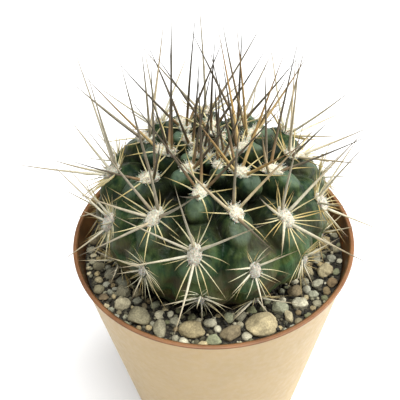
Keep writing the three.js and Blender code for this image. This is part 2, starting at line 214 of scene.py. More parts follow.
pot_finish = Finish(
    "terracotta_plastic", subsurface_weight=0.25, subsurface_scale=0.002, specular_ior_level=0.3
)
pot_finish.shader.inputs["Subsurface Radius"].default_value = (1.0, 0.75, 0.4)
flattened = pot_finish.node("VectorMath", {"operation": "MULTIPLY"}, pot_finish.place, (1, 1, 0))
from_axis = pot_finish.node(
    "VectorMath", {"operation": "LENGTH"}, flattened.outputs["Vector"]
).outputs["Value"]
height_here = pot_finish.node("SeparateXYZ", {}, pot_finish.place).outputs["Z"]
mid_wall_foot = (wall_radius(0) - wall_thickness / 2) * millimetre
mid_wall = pot_finish.math("MULTIPLY_ADD", height_here, wall_taper, mid_wall_foot)
is_outside = pot_finish.math("GREATER_THAN", from_axis, mid_wall)
# The top of the lip is painted a darker red-brown than the wall: painted shade, for how light falls on the
# thin edge of the one plastic.
is_top = pot_finish.math("GREATER_THAN", height_here, (pot_height - shaded_lip_depth) * millimetre)
shaded_lip_mask = pot_finish.math("MULTIPLY", is_top, is_outside)
mottle = pot_finish.noise(6, 4)
wall_colour = pot_finish.ramp(mottle, (0.3, seen("ae9567")), (0.7, seen("b49b6d")))
# The inside of the pot is painted dark brown: partly compost stain, partly painted shade where the wall and
# the plant shut out the light.
stained_and_shaded_inside_colour = pot_finish.ramp(mottle, (0.35, seen("422b15")), (0.65, seen("5c4022")))
shaded_lip_colour = pot_finish.ramp(mottle, (0.35, seen("6b4a31")), (0.65, seen("7d593b")))
pot_finish.colour(pot_finish.mix(shaded_lip_mask, pot_finish.mix(is_outside, stained_and_shaded_inside_colour, wall_colour), shaded_lip_colour))
pot_finish.roughness(pot_finish.ramp(pot_finish.noise(1.5), (0.3, grey(0.36)), (0.7, grey(0.5))))
pot_finish.bump(pot_finish.noise(0.4, 2), 0.02)

lip_foot = pot_height - lip_height
outer_foot = (wall_radius(0), 0)
lip_bottom = (rim_radius, lip_foot + lip_round)
lip_top = (rim_radius, pot_height)
mouth = (inner_radius(pot_height), pot_height)
inner_foot = (inner_radius(floor_top), floor_top)
pot_outline = [
    (0, 0),
    (hub_radius, 0),
    (hub_radius + channel_height, channel_height),
    (channel_outer_radius, channel_height),
    (channel_outer_radius + channel_height, 0),
    outer_foot,
    (wall_radius(lip_foot), lip_foot),
    lip_bottom,
    lip_top,
    mouth,
    inner_foot,
    (0, floor_top),
]
pot_shell = turned(pot_outline, pot_steps)
for width, corners in ((edge_round, [outer_foot, inner_foot]), (lip_round, [lip_bottom, lip_top, mouth])):
    bmesh.ops.bevel(
        pot_shell, geom=rings_at(pot_shell, corners), offset=width, affect="EDGES",
        segments=round_segments, profile=0.5, material=-1,
    )

# The drain holes are cut by one set of drills, which is then thrown away.
drills = bmesh.new()
for i in range(drain_hole_count):
    centre = side_at(360 * i / drain_hole_count) * (hub_radius + channel_height + channel_outer_radius) / 2
    bmesh.ops.create_cone(
        drills, cap_ends=True, segments=drain_hole_sides, radius1=drain_hole_radius,
        radius2=drain_hole_radius, depth=4 * floor_top, matrix=Matrix.Translation(centre),
    )
pot = finish_piece("nursery_pot", pot_shell, pot_finish.material)
bmesh.ops.scale(drills, vec=(millimetre,) * 3, verts=drills.verts)
drill_mesh = bpy.data.meshes.new("drills")
drills.to_mesh(drill_mesh)
drills.free()
drill_set = bpy.data.objects.new("drills", drill_mesh)
bpy.context.scene.collection.objects.link(drill_set)
cut = pot.modifiers.new("drain_holes", "BOOLEAN")
cut.object = drill_set
cut.solver = "EXACT"
drilled = bpy.data.meshes.new_from_object(pot.evaluated_get(bpy.context.evaluated_depsgraph_get()))
pot.modifiers.clear()
pot.data = drilled
bpy.data.objects.remove(drill_set)
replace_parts(pot, "pot")

# Compost: one plug of dark mineral mix that fills the pot and holds the root.
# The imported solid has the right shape, so it stays and only gets its finish.
compost_finish = Finish("compost", roughness=0.95)
crumb = compost_finish.noise(0.8, 6)
compost_finish.colour(compost_finish.ramp(crumb, (0.35, seen("17120c")), (0.7, seen("4a3a28"))))
compost_finish.bump(crumb, 0.4)
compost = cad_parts["soil"]
compost.data.materials.clear()
compost.data.materials.append(compost_finish.material)

# Grit bed: the dark sand that the stones lie in, a layer 2 mm deep on the compost, open round the plant.
# Its top is rough, and it is poured in last, so it reaches the wall and the plant but for a grain's width.
clearance = 0.35
soil_top = 49.0
grit_top = 51.2
bed_steps = 200
bed_rows = 24
bed_relief = 0.45
bed_lump_scale = 0.9
bed_grain_scale = 2.3
bed_grain_share = 0.6
bed_drop = 0.3
stem_centre = Vector((0, 2, 65))
stem_radius = 26
stem_bottom = 20


def mix(low, high, share):
    return low + (high - low) * share


def clamp(value, low=0, high=1):
    return max(low, min(high, value))


def smoothstep(value, low, high):
    share = clamp((value - low) / (high - low))
    return share * share * (3 - 2 * share)


# The stem's radius at a height below its widest.
def envelope_radius(z):
    drop = clamp((stem_centre.z - z) / stem_bottom)
    return stem_radius * math.sqrt(1 - drop * drop)


bed_foot = soil_top + clearance
bed_hole = envelope_radius(grit_top) + clearance
bed_edge = inner_radius(grit_top) - clearance
bed_outline = [(bed_hole, bed_foot), (inner_radius(bed_foot) - clearance, bed_foot)]
bed_outline += [(mix(bed_edge, bed_hole, row / bed_rows), grit_top) for row in range(bed_rows + 1)]
bed = turned(bed_outline, bed_steps, closed=True)
for vert in bed.verts:
    inward = clamp((bed_edge - vert.co.to_2d().length) / (bed_edge - bed_hole))
    if vert.co.z > bed_foot + clearance:
        lump = noise.noise(vert.co * bed_lump_scale)
        grain = bed_grain_share * noise.noise(vert.co * bed_grain_scale)
        vert.co.z += bed_relief * (lump + grain - bed_drop)
    vert.co.y += stem_centre.y * inward

bed_finish = Finish("dark_grit", roughness=0.9)
sand = bed_finish.cells(0.55)
bed_finish.colour(bed_finish.ramp(
    bed_finish.noise(0.5, 5), (0.35, seen("0f0d08")), (0.55, seen("262216")), (0.75, seen("504a38"))
))
bed_finish.bump(sand, -0.35)
grit_bed = finish_piece("grit_bed", bed, bed_finish.material)
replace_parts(grit_bed, "gravel")

# Stones: washed pebbles and crushed stone of 1 to 8 mm, tan, grey, brown and greenish, strewn on the grit.
# The large ones were laid by hand at the front, and the finer ones fell between them. Those on the left are
# painted paler than the rest: painted light, for light falling on the left of the pot.
stone_count = 84
stone_tries = 4000
coarse_stone = 2.2
fine_stone = 0.9
tries_to_fine = 500
stone_size_range = (0.8, 1.2)
stone_width_share = (0.7, 1)
stone_height_share = (0.6, 0.9)
stone_ring = (17, 29.5)
stone_rise = 0.25
stone_spacing = 0.8
stone_shade_seed = 9000
left_light_share = 0.7
left_light_tone = 0.85

# Of each large stone: its bearing, how far it lies from the axis, half its sizes, how it is turned, its shade
large_stones = [
    (24, 25.2, (4.3, 2.8, 2.0), 20, 0.82),
    (-12, 24.8, (3.0, 2.3, 1.9), 0, 0.8),
    (8, 25.2, (2.9, 2.0, 1.6), 40, 0.66),
    (-1, 27.0, (1.9, 1.4, 1.5), 0, 0.33),
    (48, 25.7, (2.0, 1.9, 1.7), 0, 0.95),
    (38, 26.4, (1.1, 1.6, 1.3), 10, 0.86),
    (-40, 26.0, (3.0, 2.4, 2.0), -30, 0.48),
    (-52, 26.3, (2.1, 1.7, 1.6), 20, 0.92),
    (-27, 26.4, (1.7, 2.1, 1.8), 0, 0.5),
]


# A repeatable draw between 0 and 1 for each whole number, and a run of such draws.
def chance(n):
    x = math.sin(n * 12.9898 + 4.1) * 43758.5453
    return x - math.floor(x)


def draws_from(seed):
    numbers = itertools.count(seed + 1)
    return lambda low, high: mix(low, high, chance(next(numbers)))


stones = []


# Lays a stone with its middle at a bearing and a distance from the pot's axis, where nothing is in its way.
def lay_stone(bearing, radius, half_sizes, turn, shade):
    half_length, half_width, half_height = half_sizes
    spread = max(half_length, half_width)
    place = side_at(bearing) * radius
    resting = soil_top + clearance + half_height
    place.z = max(grit_top + stone_rise * half_height, resting + clearance)
    top = place.z + half_height
    if radius + spread > inner_radius(place.z) - clearance:
        return
    if (place - stem_centre).to_2d().length - spread < envelope_radius(top) + 2 * clearance:
        return
    for other in stones:
        if (place - other.place).to_2d().length < stone_spacing * (spread + other.spread):
            return
    stones.append(SimpleNamespace(
        place=place, top=top, spread=spread, half_sizes=half_sizes, turn=turn, shade=shade
    ))


for stone in large_stones:
    lay_stone(*stone)
draw = draws_from(0)
for n in range(stone_tries):
    if len(stones) == stone_count:
        break
    half = mix(coarse_stone, fine_stone, min(1, n / tries_to_fine)) * draw(*stone_size_range)
    half_sizes = (half, half * draw(*stone_width_share), half * draw(*stone_height_share))
    lay_stone(draw(0, 360), draw(*stone_ring), half_sizes, draw(0, 360), chance(stone_shade_seed + n))

bulge_height = 0.22
bulge_scale = 1.4
noise_steps = (7.3, 3.1, 5.7)
cut_distance = 0.78
least_cut_facing = 0.4
pit_depth = 0.05
pit_scale = 4
edge_wear = 0.2
stone_form_seed = 7


# A ball with a few soft bulges, cut down by random planes and pitted: a chipped stone with worn edges.
def rough_stone(subdivisions, seed, cut_count):
    stone = bmesh.new()
    bmesh.ops.create_icosphere(stone, subdivisions=subdivisions, radius=1)
    flats = [noise.random_unit_vector() for _ in range(cut_count)]
    offset = Vector([seed * step for step in noise_steps])
    for vert in stone.verts:
        way = vert.co.normalized()
        reach = 1 + bulge_height * noise.noise(way * bulge_scale + offset)
        for flat in flats:
            facing = way.dot(flat)
            if facing > least_cut_facing:
                reach = min(reach, cut_distance / facing)
        vert.co = way * (reach + pit_depth * noise.noise(way * pit_scale + offset))
    bmesh.ops.smooth_vert(
        stone, verts=stone.verts, factor=edge_wear, use_axis_x=True, use_axis_y=True, use_axis_z=True
    )
    mesh = bpy.data.meshes.new("stone_form")
    stone.to_mesh(mesh)
    stone.free()
    return mesh


# Adds a copy of a form to a shape, and gives back its new vertices.
def add_copy(shape, form):
    before = len(shape.verts)
    shape.from_mesh(form)
    shape.verts.ensure_lookup_table()
    return shape.verts[before:]


# A heap of stones of like size in one piece, each a turned and stretched copy of one of a few forms.
def strew(name, laid, forms, finish):
    heap = bmesh.new()
    shade_layer = heap.verts.layers.float.new("shade")
    for number, stone in enumerate(laid):
        fresh = add_copy(heap, forms[number % len(forms)])
        turn = Matrix.Rotation(math.radians(stone.turn), 4, "Z")
        lay = Matrix.Translation(stone.place) @ turn @ Matrix.Diagonal((*stone.half_sizes, 1))
        bmesh.ops.transform(heap, matrix=lay, verts=fresh)
        # Stones, pebbles and grains towards the left are painted paler: painted light.
        painted_left_light = left_light_share * clamp(-stone.place.x / rim_radius)
        for vert in fresh:
            vert[shade_layer] = mix(stone.shade, left_light_tone, painted_left_light)
    piece = finish_piece(name, heap, finish.material)
    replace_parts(piece, "gravel")


noise.seed_set(stone_form_seed)
stone_finish = Finish("stone", roughness=0.9, specular_ior_level=0.3)
stone_colour = stone_finish.ramp(
    stone_finish.attribute("shade"),
    (0.0, seen("3e3b2c")),
    (0.16, seen("5f5a45")),
    (0.30, seen("7f8360")),
    (0.48, seen("a3a28f")),
    (0.62, seen("8b8468")),
    (0.70, seen("735f45")),
    (0.78, seen("a2926b")),
    (0.86, seen("b3a886")),
    (0.95, seen("c2bda3")),
)
blotches = stone_finish.ramp(stone_finish.noise(2.2, 4), (0.3, grey(0.62)), (0.7, grey(1.2)))
specks = stone_finish.ramp(stone_finish.noise(0.35, 3), (0.42, grey(0.72)), (0.6, grey(1.08)))
blotched = stone_finish.mix(1, stone_colour, blotches, "MULTIPLY")
stone_finish.colour(stone_finish.mix(0.8, blotched, specks, "MULTIPLY"))
stone_finish.bump(stone_finish.noise(0.7, 5), 0.22)

stone_forms = [rough_stone(subdivisions=4, seed=seed, cut_count=11) for seed in range(8)]
strew("stones", stones, stone_forms, stone_finish)

# Pebbles: crushed stone of 1 to 4 mm from the same washed mix. They lie between the stones, wherever one
# fits, and hardly touch them.
pebble_tries = 5000
pebble_half = (0.7, 1.9)
pebble_width_share = (0.7, 1)
pebble_height_share = (0.5, 0.8)
pebble_ring = (18, 30)
pebble_rise = 0.2
pebble_spacing = 0.76
pebble_seed = 50000
wall_gap = 0.1


# Whether there is room for something round between the wall and the plant.
def has_room(place, half):
    if place.to_2d().length + half > inner_radius(place.z) - wall_gap:
        return False
    return (place - stem_centre).to_2d().length >= envelope_radius(place.z + half) + half + clearance


pebbles = []
draw = draws_from(pebble_seed)
for n in range(pebble_tries):
    half = draw(*pebble_half)
    place = side_at(draw(0, 360)) * draw(*pebble_ring)
    place.z = grit_top + half * pebble_rise
    half_sizes = (half, half * draw(*pebble_width_share), half * draw(*pebble_height_share))
    turn, shade = draw(0, 360), draw(0, 1)
    if not has_room(place, half):
        continue
    if any((place - s.place).to_2d().length < pebble_spacing * (half + s.spread) for s in stones + pebbles):
        continue
    pebbles.append(SimpleNamespace(place=place, spread=half, half_sizes=half_sizes, turn=turn, shade=shade))

pebble_forms = [rough_stone(subdivisions=2, seed=40 + number, cut_count=12) for number in range(12)]
strew("pebbles", pebbles, pebble_forms, stone_finish)

# Sand grains: coarse, mostly dark sand of about 1 mm, thrown anywhere on the bed that no stone covers. There
# are a great many of them, and twenty faces are enough for each.
grain_count = 1100
grain_half = (0.35, 0.7)
grain_width_share = (0.6, 1)
grain_height_share = 0.75
grain_ring = (16, 30)
grain_rise = (0, 0.6)
grain_seed = 20000
covered_share = 0.75
grains = []
draw = draws_from(grain_seed)
while len(grains) < grain_count:
    half = draw(*grain_half)
    place = side_at(draw(0, 360)) * math.sqrt(draw(grain_ring[0] ** 2, grain_ring[1] ** 2))
    place.z = grit_top + half * draw(*grain_rise)
    turn, shade = draw(0, 360), draw(0, 1)
    half_sizes = (half, half * draw(*grain_width_share), half * grain_height_share)
    if not has_room(place, half):
        continue
    if any((place - s.place).to_2d().length < covered_share * s.spread for s in stones):
        continue
    grains.append(SimpleNamespace(place=place, half_sizes=half_sizes, turn=turn, shade=shade))

grain_finish = Finish("sand_grain", roughness=0.85)
grain_colour = grain_finish.ramp(
    grain_finish.attribute("shade"),
    (0.0, seen("12110b")),
    (0.5, seen("2c2a1e")),
    (0.75, seen("56513f")),
    (0.88, seen("85836a")),
    (0.96, seen("aba283")),
    (1.0, seen("c5c0aa")),
)
grain_specks = grain_finish.ramp(grain_finish.noise(0.4), (0.35, grey(0.6)), (0.65, grey(1.1)))
grain_finish.colour(grain_finish.mix(0.8, grain_colour, grain_specks, "MULTIPLY"))
grain_forms = [rough_stone(subdivisions=1, seed=20 + number, cut_count=3) for number in range(10)]
strew("sand_grains", grains, grain_forms, grain_finish)

# Stem: the plant's one round body of firm green flesh under a waxy skin. It grew in thirteen spiral ribs of
# tubercles, and each tubercle bears an areole above a small chin. The skin is blue-green near the crown and
# turns olive and brown with age, down to where it rests in the grit.
stem_top = 17
stem_subdivisions = 7
young_furrow_share = 0.8
old_furrow_share = 0.11
first_deep_areole = -10
last_deep_areole = 3
dome_roundness = 1.8
furrow_limit = 6
furrow_softness = 0.35
dome_lengthening = 0.6
young_chin_drop = 0.36
old_chin_drop = 0.15
crown_gathering = 1.3
chin_shear = 0.35
crown_dip = 1.5
crown_dip_polar = 14
smooth_from_polar = 125
smooth_to_polar = 150
spiral_turn = -138.23
front_bearing = -9.5
front_polar = 64
polar_step = 38 / 13
polar_softness = 16
youngest_areole = -28
oldest_spiny_areole = 19
oldest_tubercle = 27
full_age_areole = 16
slope_step = 0.03
slope_share = 0.6
wrinkle_height = 0.4
wrinkle_scale = 0.45
pucker_height = 0.05
pucker_scale = 1.3
flute_height = 0.9
flute_scales = (0.3, 0.3, 0.07)
taut_to = 1
slack_from = 4
olive_height = 50
dark_height = 80


def unit(vectors):
    return vectors / np.linalg.norm(vectors, axis=1, keepdims=True)


# The envelope in each direction: the places on it, and the ways out of the stem and up along it.
def envelope_at(directions):
    half_height = np.where(directions[:, 2:] > 0, stem_top, stem_bottom)
    scale = np.hstack([np.full((len(directions), 2), stem_radius), half_height])
    level = np.maximum(1e-6, np.hypot(directions[:, :1], directions[:, 1:2]))
    up = np.hstack([-directions[:, 2:] * directions[:, :2], level * level])
    return directions * scale + np.array(stem_centre), unit(directions / scale), up * scale / level


# The nth tubercle, with the spacing to its neighbours as in a hexagonal lattice, and its age from 0 to 1.
def tubercle_at(n):
    bearing = front_bearing + spiral_turn * n
    past = (front_polar + polar_step * n) / polar_softness
    polar = math.radians(polar_softness * math.log1p(math.exp(past)))
    polar_rate = math.radians(polar_step / (1 + math.exp(-past)))
    direction = side_at(bearing) * math.sin(polar)
    direction.z = math.cos(polar)
    place, out, up = (Vector(rows[0]) for rows in envelope_at(np.array([direction])))
    area = 2 * math.pi * stem_radius * math.sin(polar) * up.length * polar_rate
    filled_out = smoothstep(n, first_deep_areole, last_deep_areole)
    return SimpleNamespace(
        n=n, direction=direction, place=place, out=out, up=up.normalized(), across=side_at(bearing + 90),
        spacing=math.sqrt(2 * area / math.sqrt(3)),
        furrow_share=mix(young_furrow_share, old_furrow_share, filled_out),
        chin_drop=mix(young_chin_drop, old_chin_drop, filled_out),
        age=clamp((n - youngest_areole) / (full_age_areole - youngest_areole)),
    )


# The stem's surface in each direction, with how deep it lies in a furrow there: the envelope, drawn in
# between the domes of the tubercles, and drawn upwards in the furrows, which leaves the chins.
def stem_surface(directions, tubercles):
    places, out, up = envelope_at(directions)
    nearness = np.full(len(directions), 1e-30)
    for tubercle in tubercles:
        apart = places - np.array(tubercle.place - tubercle.chin_drop * tubercle.spacing * tubercle.up)
        apart = apart / (tubercle.spacing / 2)
        along = apart @ np.array(tubercle.up)
        from_middle = (apart ** 2).sum(axis=1) - (1 - dome_lengthening) * along ** 2
        depth = tubercle.furrow_share * tubercle.spacing * from_middle ** dome_roundness
        nearness += np.exp(-depth / furrow_softness)
    polar = np.arccos(np.clip(directions[:, 2], -1, 1))
    share = np.clip((np.degrees(polar) - smooth_from_polar) / (smooth_to_polar - smooth_from_polar), 0, 1)
    smooth = share * share * (3 - 2 * share)
    furrow = np.minimum(furrow_limit, -furrow_softness * np.log(nearness)) * (1 - smooth)
    dip = crown_dip * np.exp(-((np.degrees(polar) / crown_dip_polar) ** 2))
    places = places - out * (furrow + dip)[:, None] + unit(up) * (chin_shear * furrow)[:, None]
    return places, furrow


# The areole of a tubercle, on the stem's surface and turned most of the way to how that surface slopes.
def areole_on(tubercle):
    ways = [tubercle.direction + step * slope_step for step in (Vector(), tubercle.across, tubercle.up)]
    here, beside, above = (Vector(row) for row in stem_surface(unit(np.array(ways)), tubercles)[0])
    areole = SimpleNamespace(**vars(tubercle), surface=here, facing=tubercle.out)
    slope = (beside - here).cross(above - here).normalized()
    areole.out = tubercle.out.lerp(slope, slope_share).normalized()
    areole.up = areole.out.cross(tubercle.across).normalized()
    areole.across = areole.up.cross(areole.out)
    return areole


tubercles = [tubercle_at(n) for n in range(youngest_areole, oldest_tubercle + 1)]
areoles = [areole_on(tubercle) for tubercle in tubercles if tubercle.n <= oldest_spiny_areole]

stem = bmesh.new()
bmesh.ops.create_icosphere(stem, subdivisions=stem_subdivisions, radius=1)
furrow_layer = stem.verts.layers.float.new("furrow")
directions = unit(np.array([vert.co for vert in stem.verts]))
level = np.maximum(1e-9, np.hypot(directions[:, 0], directions[:, 1]))
polar = math.pi * (np.arccos(np.clip(directions[:, 2], -1, 1)) / math.pi) ** crown_gathering
directions[:, :2] *= (np.sin(polar) / level)[:, None]
directions[:, 2] = np.cos(polar)
places, furrows = stem_surface(directions, tubercles)

# The skin is puckered, wrinkled and fluted all over, but lies taut round each areole.
areole_places = np.array([areole.surface for areole in areoles])
for vert, place, furrow in zip(stem.verts, places, furrows):
    here = Vector(place)
    wrinkle = wrinkle_height * noise.noise(here * wrinkle_scale)
    wrinkle += pucker_height * noise.noise(here * pucker_scale)
    flute = flute_height * noise.noise(Vector(place * np.array(flute_scales)))
    slack = smoothstep(np.linalg.norm(areole_places - place, axis=1).min(), taut_to, slack_from)
    vert.co = here + (here - stem_centre).normalized() * (wrinkle + flute) * slack
    vert[furrow_layer] = furrow / furrow_limit
bmesh.ops.recalc_face_normals(stem, faces=stem.faces)

skin = Finish("waxy_skin", subsurface_weight=0.06, subsurface_scale=0.002, specular_ior_level=0.12)
skin.shader.inputs["Subsurface Radius"].default_value = (0.6, 1.0, 0.5)
skin.shader.inputs["Sheen Weight"].default_value = 0.02
skin.shader.inputs["Sheen Roughness"].default_value = 0.4
height_on_stem = skin.node("SeparateXYZ", {}, skin.place).outputs["Z"]
above_olive = skin.math("SUBTRACT", height_on_stem, olive_height * millimetre)
height_share = skin.math("DIVIDE", above_olive, (dark_height - olive_height) * millimetre)
drifting = skin.math("ADD", height_share, skin.math("MULTIPLY", skin.noise(9, 3), 0.5))
skin_colour = skin.ramp(
    skin.math("SUBTRACT", drifting, 0.25),
    (0.0, seen("473b17")),
    (0.2, seen("4e4f18")),
    (0.42, seen("384719")),
    (0.66, seen("1a2a14")),
    (1.0, seen("112419")),
)
streaked_place = skin.node("VectorMath", {"operation": "MULTIPLY"}, skin.place, (1, 1, 0.3)).outputs[0]
streaks = skin.noise(1.6, 5, streaked_place)
bloom = skin.ramp(streaks, (0.42, grey(0.0)), (0.72, grey(0.5)))
bloomed = skin.mix(bloom, skin_colour, seen("5a6a3a"))
lowness = skin.ramp(height_share, (0.35, grey(1.0)), (0.9, grey(0.15)))
cool_patches = skin.ramp(skin.noise(5, 4), (0.48, grey(0.0)), (0.58, grey(0.7)))
cooled = skin.mix(skin.math("MULTIPLY", cool_patches, lowness), bloomed, seen("21482d"))
scars = skin.ramp(skin.noise(6.5, 5), (0.46, grey(0.0)), (0.58, grey(0.75)))
scarred = skin.mix(skin.math("MULTIPLY", scars, lowness), cooled, seen("4b392a"))
# The knob tops in the upper stem are painted pale grey-green: a painted highlight along their crests.
crest_highlight = skin.ramp(skin.attribute("furrow"), (0.0, grey(0.4)), (0.08, grey(0.0)))
upper_crest_highlight = skin.math("MULTIPLY", crest_highlight, height_share)
crest_highlighted = skin.mix(upper_crest_highlight, scarred, seen("6a7d68"))
shadow_of_furrow = skin.ramp(
    skin.attribute("furrow"), (0.05, grey(1.0)), (0.25, grey(0.7)), (0.6, grey(0.32))
)
skin.colour(skin.mix(1, crest_highlighted, shadow_of_furrow, "MULTIPLY"))
skin.roughness(skin.ramp(skin.noise(1.8, 4), (0.3, grey(0.4)), (0.7, grey(0.58))))
skin.bump(streaks, 0.6)
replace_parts(finish_piece("stem", stem, skin.material), "cactus")

# Taproot: in the grit the stem narrows into one tough, woody root with brown bark. It runs down into the
# compost, which holds it, and ends in a thin tip.
root_profile = [(9, 47), (6, 42), (3.4, 34), (1.8, 25), (0.9, 19)]
root_tip = 17
root_steps = 24
root_in_stem = 4
root_outline = [(0, root_profile[0][1] + root_in_stem), *root_profile, (0, root_tip)]
taproot = turned(root_outline, root_steps)
bmesh.ops.translate(taproot, vec=(stem_centre.x, stem_centre.y, 0), verts=taproot.verts)
root_finish = Finish("root_bark", roughness=0.9)
bark = root_finish.noise(1.2, 5)
root_finish.colour(root_finish.ramp(bark, (0.3, seen("3b2c1c")), (0.7, seen("7d6243"))))
root_finish.bump(bark, 0.3)
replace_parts(finish_piece("taproot", taproot, root_finish.material), "cactus")

# Wool: each areole is a cushion of dense white felt, out of which the spines grow. It is creamy and loose
# near the crown, where it is new, and grey and worn lower down.
pad_half_width = 1.6
pad_half_height = 2.6
pad_half_depth = 1.3
pad_share = 0.95
full_pad_spacing = 8
worn_pad_share = 0.5
first_worn_areole = 1
last_worn_areole = 10
pad_sinking = 0.9
pad_subdivisions = 4
lump_height = 0.18
lump_scale = 2.6
fluff_height = 0.1
fluff_scale = 7
new_until_age = 0.3
worn_from_age = 0.75
hairs_per_areole = 110
hair_radius = 0.06
hair_length = (0.4, 0.95)
worn_hair_share = 0.85
new_hair_share = 1.2
hair_seat = 0.9
hair_sprawl = (-0.3, 0.8)
hair_curl = 0.6
hair_curl_fall = (-0.6, 0.4)
hair_seed = 30000
hair_draws_per_areole = 500


def frame_of(areole):
    return Matrix((areole.across, areole.up, areole.out)).transposed()


def pad_form():
    pad = bmesh.new()
    bmesh.ops.create_icosphere(pad, subdivisions=pad_subdivisions, radius=1)
    mesh = bpy.data.meshes.new("pad_form")
    pad.to_mesh(mesh)
    pad.free()
    return mesh


# A three-sided hair or a six-sided spine of unit length along Z, its shanks cut across into stretches.
def needle_form(sides, base, tip, cuts):
    needle = bmesh.new()
    bmesh.ops.create_cone(
        needle, cap_ends=True, cap_tris=False, segments=sides, radius1=base, radius2=tip, depth=1,
        matrix=Matrix.Translation((0, 0, 0.5)),
    )
    shanks = [edge for edge in needle.edges if abs(edge.verts[0].co.z - edge.verts[1].co.z) > 0.5]
    bmesh.ops.subdivide_edges(needle, edges=shanks, cuts=cuts)
    mesh = bpy.data.meshes.new("needle_form")
    needle.to_mesh(mesh)
    needle.free()
    return mesh


pads = bmesh.new()
hairs = bmesh.new()
newness_of_pad = pads.verts.layers.float.new("newness")
newness_of_hair = hairs.verts.layers.float.new("newness")
felt_form = pad_form()
hair_form = needle_form(sides=3, base=1, tip=0.5, cuts=3)
for areole in areoles:
    draw = draws_from(hair_seed + hair_draws_per_areole * areole.n)
    worn_off = mix(1, worn_pad_share, smoothstep(areole.n, first_worn_areole, last_worn_areole))
    size = pad_share * worn_off * min(1, areole.spacing / full_pad_spacing)
    newness = 1 - smoothstep(areole.age, new_until_age, worn_from_age)
    half_depth = worn_off * pad_half_depth * pad_sinking
    half_sizes = Vector((size * pad_half_width, size * pad_half_height, half_depth))
    basis = frame_of(areole)
    for vert in add_copy(pads, felt_form):
        way = vert.co.copy()
        rough = 1 + lump_height * noise.noise(way * lump_scale + areole.place)
        rough += fluff_height * noise.noise(way * fluff_scale + areole.place)
        vert.co = areole.surface + basis @ (way * half_sizes) * rough
        vert[newness_of_pad] = newness
    tuft = bmesh.new()
    for i in range(hairs_per_areole):
        spot = Vector((draw(-1, 1), draw(-1, 1), draw(0.1, 1))).normalized()
        start = areole.surface + basis @ (spot * half_sizes * hair_seat)
        sprawl = Vector((draw(-1, 1), draw(-1, 1), draw(*hair_sprawl)))
        way = (basis @ (spot * hair_seat + sprawl)).normalized()
        curl = (basis @ Vector((draw(-1, 1), draw(-1, 1), draw(*hair_curl_fall)))).normalized()
        length = draw(*hair_length) * mix(worn_hair_share, new_hair_share, newness) * worn_off
        turn = way.to_track_quat("Z", "Y")
        for vert in add_copy(tuft, hair_form):
            along = vert.co.z
            section = turn @ Vector((vert.co.x, vert.co.y, 0)) * hair_radius
            bend = curl * along * along * length * hair_curl
            vert.co = start + way * along * length + bend + section
    tuft_form = bpy.data.meshes.new("tuft_form")
    tuft.to_mesh(tuft_form)
    tuft.free()
    for vert in add_copy(hairs, tuft_form):
        vert[newness_of_hair] = newness

wool_finish = Finish("areole_wool", roughness=0.95, subsurface_weight=0.2, subsurface_scale=0.0008)
wool_finish.shader.inputs["Sheen Weight"].default_value = 0.4
clumps = wool_finish.noise(0.35, 4)
worn = wool_finish.ramp(clumps, (0.3, seen("8a8577")), (0.6, seen("b8b3a4")))
new = wool_finish.ramp(clumps, (0.3, seen("9c967e")), (0.6, seen("d2cdb6")))
wool_finish.colour(wool_finish.mix(wool_finish.attribute("newness"), worn, new))
wool_finish.bump(wool_finish.noise(0.18, 3), 0.12)
for name, shape in (("felt_cushions", pads), ("wool_hairs", hairs)):
    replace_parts(finish_piece(name, shape, wool_finish.material), "cactus")

# Spines: each areole grows a few stout centrals and a ring of thin radials, hard and sharp. New centrals
# stand up and are amber at the foot and almost black to the tip. Old ones spread and fade to cream and grey.
# Of each central: its turn from straight up, its lean when young and when old, its length
central_spines = [
    (0, 12, 50, 31),
    (62, 20, 64, 28),
    (-62, 20, 64, 28),
    (180, 16, 58, 22),
    (-108, 40, 68, 18),
]
central_radius = 0.36
central_ring = 0.55
central_bow = 0.06
radial_turns = [24, -32, 90, -84, 150, -154, 118]
extra_radial_turns = [-120, 60, -8, 168, -60, 42, 134, -104, 8]
side_radial_turns = [-140, 75, 20, -45, 105, -75, 150, -20, 30, -165, 50, 128]
side_from = 13
young_radial_lean = 52
old_radial_lean = 76
radial_radius = 0.17
radial_length = (6, 9.5)
extra_radius = 0.13
extra_length = (3, 8)
old_stoutness = 0.62
middle_age = 0.5
length_range = (0.8, 1.08)
turn_range = 12
lean_range = 9
budding_areole = -21
crown_areole = -17
crown_share = 0.25
first_short_bud = -28
last_short_bud = -16
first_short_areole = -3
last_short_areole = 7
short_central_share = 0.32
short_radial_share = 0.75
shaded_side_share = 0.8
spine_root_depth = 0.6
spine_clearance = 0.6
spine_checks = 12
swings = [0, 4, -4, 8, -8, 12, -12]
raise_step = 0.12
raise_count = 9
spine_seed = 1000
extra_seed = 60000
draws_per_areole = 40
upward = Vector((0, 0, 1))


def spine_from(areole, turn, lean, lift, length, radius, ring, bow):
    angle, tilt = math.radians(turn), math.radians(lean)
    above = areole.facing.cross(areole.across).normalized()
    sideways = above * math.cos(angle) + areole.across * math.sin(angle)
    way = (areole.facing * math.cos(tilt) + sideways * math.sin(tilt) + upward * lift).normalized()
    from_middle = ring * min(1, areole.spacing / full_pad_spacing)
    base = areole.surface + areole.across * from_middle * pad_half_width * math.sin(angle)
    base += areole.up * from_middle * pad_half_height * math.cos(angle)
    middle = base + way * length / 2
    tip = base + way * length + upward * bow * length
    return SimpleNamespace(
        areole=areole, base=base, middle=middle, tip=tip, way=way, length=length, radius=radius, bow=bow
    )


